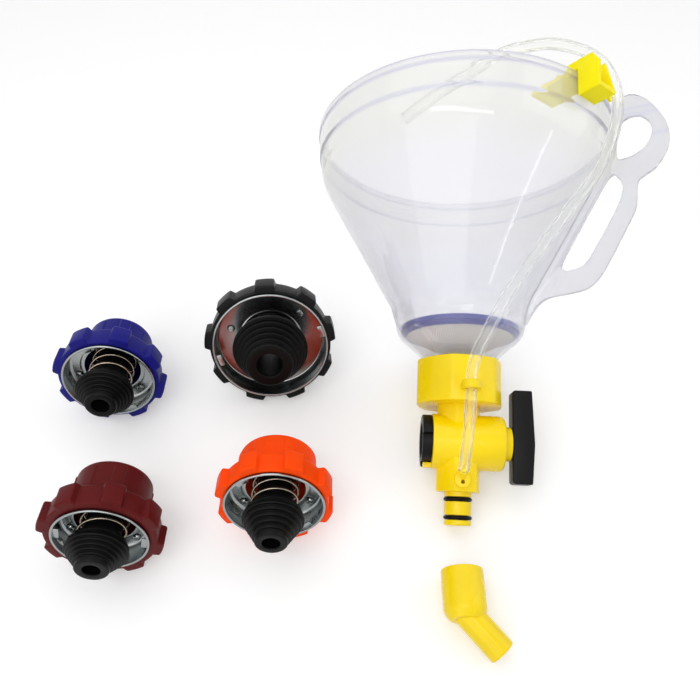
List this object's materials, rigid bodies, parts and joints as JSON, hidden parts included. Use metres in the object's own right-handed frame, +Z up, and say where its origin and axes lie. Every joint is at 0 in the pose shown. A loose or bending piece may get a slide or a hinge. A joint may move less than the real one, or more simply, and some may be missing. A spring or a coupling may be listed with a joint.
{
  "type": "coolant vacuum filler",
  "caption": "Clear spill-free coolant funnel with strainer, shut-off valve, vent hose, elbow and colour-coded spring-loaded radiator cap adapters, laid out as a kit.",
  "frame": {"origin": "centre of the whole kit's bounding box, on the surface it lies on", "axes": "+Z up from the surface; +Y from the elbow towards the funnel's mouth; +X from the adapters towards the funnel's handle"},
  "size_m": [0.3858, 0.3556, 0.1933],
  "materials": {
    "clear_plastic": "clear polypropylene, slightly hazy",
    "yellow_plastic": "moulded, satin",
    "clip_plastic": "moulded, satin",
    "black_plastic": "moulded, satin",
    "blue_plastic": "moulded, satin",
    "maroon_plastic": "moulded, satin",
    "orange_plastic": "moulded, satin",
    "strainer_blue": "moulded",
    "strainer_gauze": "fine woven nylon gauze",
    "clear_hose": "clear flexible vinyl",
    "rubber": "black rubber",
    "zinc_steel": "bright zinc plated sheet steel",
    "spring_steel": "bright spring wire"
  },
  "bodies": {
    "funnel_assembly": {"funnel": "clear_plastic", "neck_gasket": "rubber", "valve_body": "yellow_plastic", "spigot_oring_upper": "rubber", "spigot_oring_lower": "rubber", "hose": "clear_hose", "hose_clip": "clip_plastic"},
    "valve_rotor": {"valve_barrel": "black_plastic", "barrel_oring_left": "rubber", "barrel_oring_right": "rubber", "knob": "black_plastic", "knob_screw": "zinc_steel"},
    "strainer": {"strainer_ring": "strainer_blue", "strainer_mesh": "strainer_gauze"},
    "elbow": {"elbow": "yellow_plastic"},
    "black_cap": {"black_grip_cap": "black_plastic", "black_metal_cup": "zinc_steel", "black_rivet_1": "zinc_steel", "black_rivet_2": "zinc_steel", "black_rivet_3": "zinc_steel"},
    "black_spring": {"black_spring": "spring_steel"},
    "black_plug": {"black_stem": "black_plastic", "black_rubber_plug": "rubber"},
    "blue_cap": {"blue_grip_cap": "blue_plastic", "blue_metal_cup": "zinc_steel", "blue_rivet_1": "zinc_steel", "blue_rivet_2": "zinc_steel", "blue_rivet_3": "zinc_steel"},
    "blue_spring": {"blue_spring": "spring_steel"},
    "blue_plug": {"blue_stem": "black_plastic", "blue_rubber_plug": "rubber"},
    "maroon_cap": {"maroon_grip_cap": "maroon_plastic", "maroon_metal_cup": "zinc_steel", "maroon_rivet_1": "zinc_steel", "maroon_rivet_2": "zinc_steel", "maroon_rivet_3": "zinc_steel"},
    "maroon_spring": {"maroon_spring": "spring_steel"},
    "maroon_plug": {"maroon_stem": "black_plastic", "maroon_rubber_plug": "rubber"},
    "orange_cap": {"orange_grip_cap": "orange_plastic", "orange_metal_cup": "zinc_steel", "orange_rivet_1": "zinc_steel", "orange_rivet_2": "zinc_steel", "orange_rivet_3": "zinc_steel"},
    "orange_spring": {"orange_spring": "spring_steel"},
    "orange_plug": {"orange_stem": "black_plastic", "orange_rubber_plug": "rubber"}
  },
  "joints": [
    {"name": "valve_turn", "type": "hinge", "parent": "funnel_assembly", "child": "valve_rotor", "pos_m": [0.06542, -0.05287, 0.02557], "axis": [0.9986, -0.0523, 0], "range_deg": [0, 90]},
    {"name": "strainer_lift", "type": "slide", "parent": "funnel_assembly", "child": "strainer", "axis": [0.0489, 0.9321, 0.3589], "range_m": [0, 0.165]},
    {"name": "elbow_lift", "type": "slide", "parent": "funnel_assembly", "child": "elbow", "axis": [0, 0, 1], "range_m": [0, 0.06]},
    {"name": "black_lift", "type": "slide", "parent": "funnel_assembly", "child": "black_cap", "axis": [0, 0, 1], "range_m": [0, 0.06]},
    {"name": "black_turn", "type": "hinge", "parent": "black_cap", "child": "black_spring", "pos_m": [-0.05476, 0.00788, 0.04307], "axis": [0.0781, -0.8931, 0.443], "range_deg": [0, 90]},
    {"name": "black_press", "type": "slide", "parent": "black_spring", "child": "black_plug", "axis": [-0.0781, 0.8931, -0.443], "range_m": [0, 0.008], "stiffness_N_per_m": 1200, "springref_m": -0.006, "deforming": ["black_spring"]},
    {"name": "blue_lift", "type": "slide", "parent": "funnel_assembly", "child": "blue_cap", "axis": [0, 0, 1], "range_m": [0, 0.06]},
    {"name": "blue_turn", "type": "hinge", "parent": "blue_cap", "child": "blue_spring", "pos_m": [-0.15876, -0.01413, 0.03592], "axis": [0.0453, -0.96, 0.2763], "range_deg": [0, 90]},
    {"name": "blue_press", "type": "slide", "parent": "blue_spring", "child": "blue_plug", "axis": [-0.0453, 0.96, -0.2763], "range_m": [0, 0.008], "stiffness_N_per_m": 1200, "springref_m": -0.006, "deforming": ["blue_spring"]},
    {"name": "maroon_lift", "type": "slide", "parent": "funnel_assembly", "child": "maroon_cap", "axis": [0, 0, 1], "range_m": [0, 0.06]},
    {"name": "maroon_turn", "type": "hinge", "parent": "maroon_cap", "child": "maroon_spring", "pos_m": [-0.14296, -0.11943, 0.03573], "axis": [0.0253, -0.9663, 0.2561], "range_deg": [0, 90]},
    {"name": "maroon_press", "type": "slide", "parent": "maroon_spring", "child": "maroon_plug", "axis": [-0.0253, 0.9663, -0.2561], "range_m": [0, 0.008], "stiffness_N_per_m": 1200, "springref_m": -0.006, "deforming": ["maroon_spring"]},
    {"name": "orange_lift", "type": "slide", "parent": "funnel_assembly", "child": "orange_cap", "axis": [0, 0, 1], "range_m": [0, 0.06]},
    {"name": "orange_turn", "type": "hinge", "parent": "orange_cap", "child": "orange_spring", "pos_m": [-0.04636, -0.09942, 0.03532], "axis": [0.0101, -0.9687, 0.2479], "range_deg": [0, 90]},
    {"name": "orange_press", "type": "slide", "parent": "orange_spring", "child": "orange_plug", "axis": [-0.0101, 0.9687, -0.2479], "range_m": [0, 0.008], "stiffness_N_per_m": 1200, "springref_m": -0.006, "deforming": ["orange_spring"]}
  ]
}
